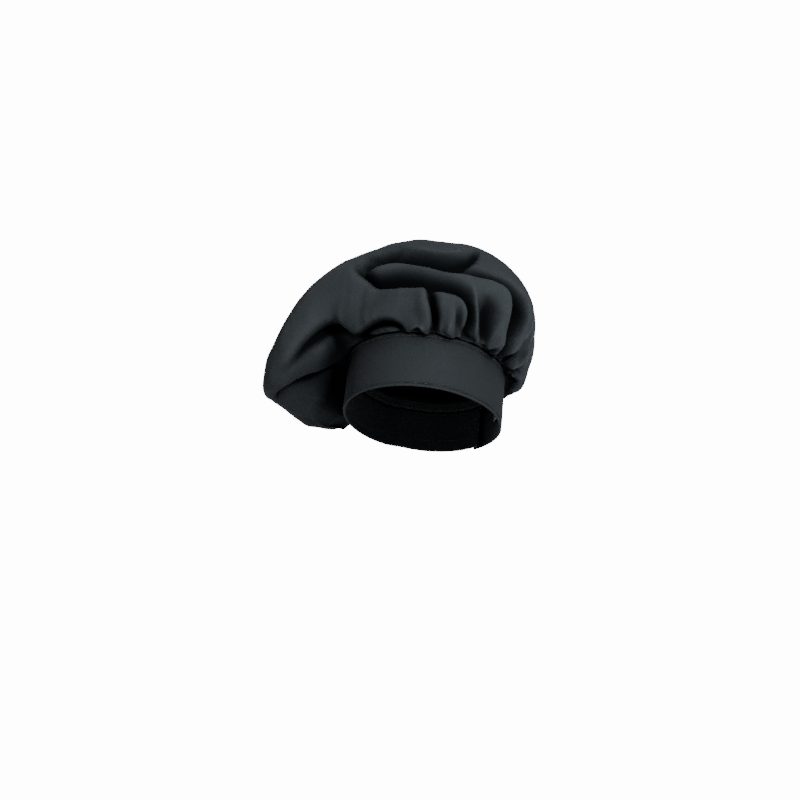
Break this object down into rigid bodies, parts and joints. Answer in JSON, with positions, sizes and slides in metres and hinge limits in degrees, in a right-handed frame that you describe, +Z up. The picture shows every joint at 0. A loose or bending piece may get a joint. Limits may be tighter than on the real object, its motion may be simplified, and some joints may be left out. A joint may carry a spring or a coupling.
{
  "type": "chef hat",
  "caption": "Soft gathered chef's toque whose full crown falls to one side above a stiffened adjustable head band with a hook-and-loop closure tab.",
  "frame": {"origin": "centre of the head opening, in the plane of the band's lower rim", "axes": "+Z up along the band's axis, -Y the wearer's front, -X the wearer's right, the side the crown falls to"},
  "size_m": [0.2918, 0.2633, 0.2029],
  "materials": {
    "crown": "matte woven cloth",
    "gather_binding": "matte bias tape",
    "binding_stitch": "sewing thread",
    "band": "matte woven cloth, pressed",
    "band_interlining": "non-woven interlining",
    "band_lower_stitch": "sewing thread",
    "band_upper_stitch": "sewing thread",
    "tab_root_stitch": "sewing thread",
    "closure_tab": "matte woven cloth, pressed",
    "tab_interlining": "non-woven interlining",
    "tab_edge_stitch": "sewing thread",
    "hook_tape": "moulded nylon hooks on woven tape",
    "hook_tape_stitch": "sewing thread",
    "loop_tape": "brushed nylon loops on woven tape",
    "loop_tape_stitch": "sewing thread",
    "care_label": "blank woven satin label"
  },
  "bodies": {
    "hat": {"crown": "crown", "gather_binding": "gather_binding", "binding_stitch": "binding_stitch", "band": "band", "band_interlining": "band_interlining", "band_lower_stitch": "band_lower_stitch", "band_upper_stitch": "band_upper_stitch", "tab_root_stitch": "tab_root_stitch", "loop_tape": "loop_tape", "loop_tape_stitch": "loop_tape_stitch", "care_label": "care_label"},
    "tab": {"closure_tab": "closure_tab", "tab_interlining": "tab_interlining", "tab_edge_stitch": "tab_edge_stitch", "hook_tape": "hook_tape", "hook_tape_stitch": "hook_tape_stitch"}
  },
  "joints": [
    {"name": "closure_tab_hinge", "type": "hinge", "parent": "hat", "child": "tab", "pos_m": [0.0431, 0.0892, 0.03], "axis": [0, 0, -1], "range_deg": [0, 110]}
  ]
}
